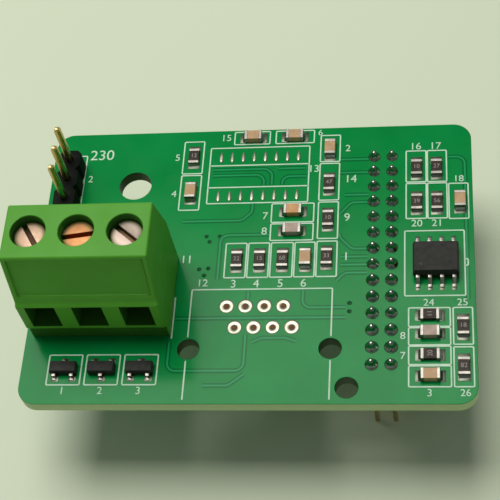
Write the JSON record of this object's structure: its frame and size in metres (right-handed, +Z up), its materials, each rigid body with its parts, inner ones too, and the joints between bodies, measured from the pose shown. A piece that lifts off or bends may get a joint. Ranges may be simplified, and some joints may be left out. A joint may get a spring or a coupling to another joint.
{
  "type": "io expansion board",
  "caption": "Small circuit board with a screw terminal block, pin headers and surface-mounted chips; it stacks on a host board and brings out a wired serial link.",
  "frame": {"origin": "centre of the mounting hole on the board's underside", "axes": "+X along the board's long side from the terminal block to the two-row header, +Y towards the back edge, +Z up out of the component side"},
  "size_m": [0.048, 0.0347, 0.028],
  "materials": {
    "solder_mask": "green lacquer over glass laminate",
    "tinned_copper": "bright tin",
    "terminal_plastic": "moulded green plastic",
    "screw_plating": "warm plated steel",
    "clamp_plating": "nickel plated",
    "tinned_strip": "tinned brass",
    "header_plastic": "black moulding",
    "gold_pin": "gold flashed brass",
    "solder": "solder",
    "package_plastic": "moulded epoxy",
    "resistor_glaze": "dark glaze with tinned ends",
    "capacitor_ceramic": "tan ceramic with tinned ends"
  },
  "bodies": {
    "board": {"circuit_board": "solder_mask", "bare_pads": "tinned_copper", "terminal_housing": "terminal_plastic", "contact_strip_1": "tinned_strip", "contact_strip_2": "tinned_strip", "contact_strip_3": "tinned_strip", "link_header_base": "header_plastic", "link_pin_1": "gold_pin", "link_pin_2": "gold_pin", "link_pin_3": "gold_pin", "stack_header_base": "header_plastic", "stack_header_pins": "gold_pin", "stack_solder_joints": "solder", "underside_solder_joints": "solder", "interface_chip_body": "package_plastic", "interface_chip_leads": "tinned_copper", "surge_diode_body_1": "package_plastic", "surge_diode_body_2": "package_plastic", "surge_diode_body_3": "package_plastic", "surge_diode_leads": "tinned_copper", "chip_resistor_1": "resistor_glaze", "chip_resistor_2": "resistor_glaze", "chip_resistor_3": "resistor_glaze", "chip_resistor_4": "resistor_glaze", "chip_resistor_5": "resistor_glaze", "chip_resistor_6": "resistor_glaze", "chip_resistor_7": "resistor_glaze", "chip_resistor_8": "resistor_glaze", "chip_resistor_9": "resistor_glaze", "chip_resistor_10": "resistor_glaze", "chip_resistor_11": "resistor_glaze", "chip_resistor_12": "resistor_glaze", "chip_resistor_13": "resistor_glaze", "chip_resistor_14": "resistor_glaze", "chip_resistor_15": "resistor_glaze", "chip_capacitor_1": "capacitor_ceramic", "chip_capacitor_2": "capacitor_ceramic", "chip_capacitor_3": "capacitor_ceramic", "chip_capacitor_4": "capacitor_ceramic", "chip_capacitor_5": "capacitor_ceramic", "chip_capacitor_6": "capacitor_ceramic", "chip_capacitor_7": "capacitor_ceramic", "chip_capacitor_8": "capacitor_ceramic", "chip_capacitor_9": "capacitor_ceramic", "chip_capacitor_10": "capacitor_ceramic", "passive_solder_fillets": "solder"},
    "screw_1": {"terminal_screw_1": "screw_plating"},
    "clamp_1": {"wire_clamp_1": "clamp_plating"},
    "screw_2": {"terminal_screw_2": "screw_plating"},
    "clamp_2": {"wire_clamp_2": "clamp_plating"},
    "screw_3": {"terminal_screw_3": "screw_plating"},
    "clamp_3": {"wire_clamp_3": "clamp_plating"}
  },
  "joints": [
    {"name": "screw_1_turn", "type": "hinge", "parent": "board", "child": "screw_1", "pos_m": [-0.00665, -0.0147, 0.0146], "axis": [0, 0, -1], "range_deg": [0, 1800]},
    {"name": "clamp_1_rise", "type": "slide", "parent": "board", "child": "clamp_1", "axis": [0, 0, 1], "range_m": [0, 0.00225]},
    {"name": "screw_2_turn", "type": "hinge", "parent": "board", "child": "screw_2", "pos_m": [-0.00165, -0.0147, 0.0146], "axis": [0, 0, -1], "range_deg": [0, 1800]},
    {"name": "clamp_2_rise", "type": "slide", "parent": "board", "child": "clamp_2", "axis": [0, 0, 1], "range_m": [0, 0.00225]},
    {"name": "screw_3_turn", "type": "hinge", "parent": "board", "child": "screw_3", "pos_m": [0.00335, -0.0147, 0.0146], "axis": [0, 0, -1], "range_deg": [0, 1800]},
    {"name": "clamp_3_rise", "type": "slide", "parent": "board", "child": "clamp_3", "axis": [0, 0, 1], "range_m": [0, 0.00225]}
  ],
  "couplings": [
    {"joint": "screw_1_turn", "follows": "clamp_1_rise", "rad_per_m": 13963},
    {"joint": "screw_2_turn", "follows": "clamp_2_rise", "rad_per_m": 13963},
    {"joint": "screw_3_turn", "follows": "clamp_3_rise", "rad_per_m": 13963}
  ]
}
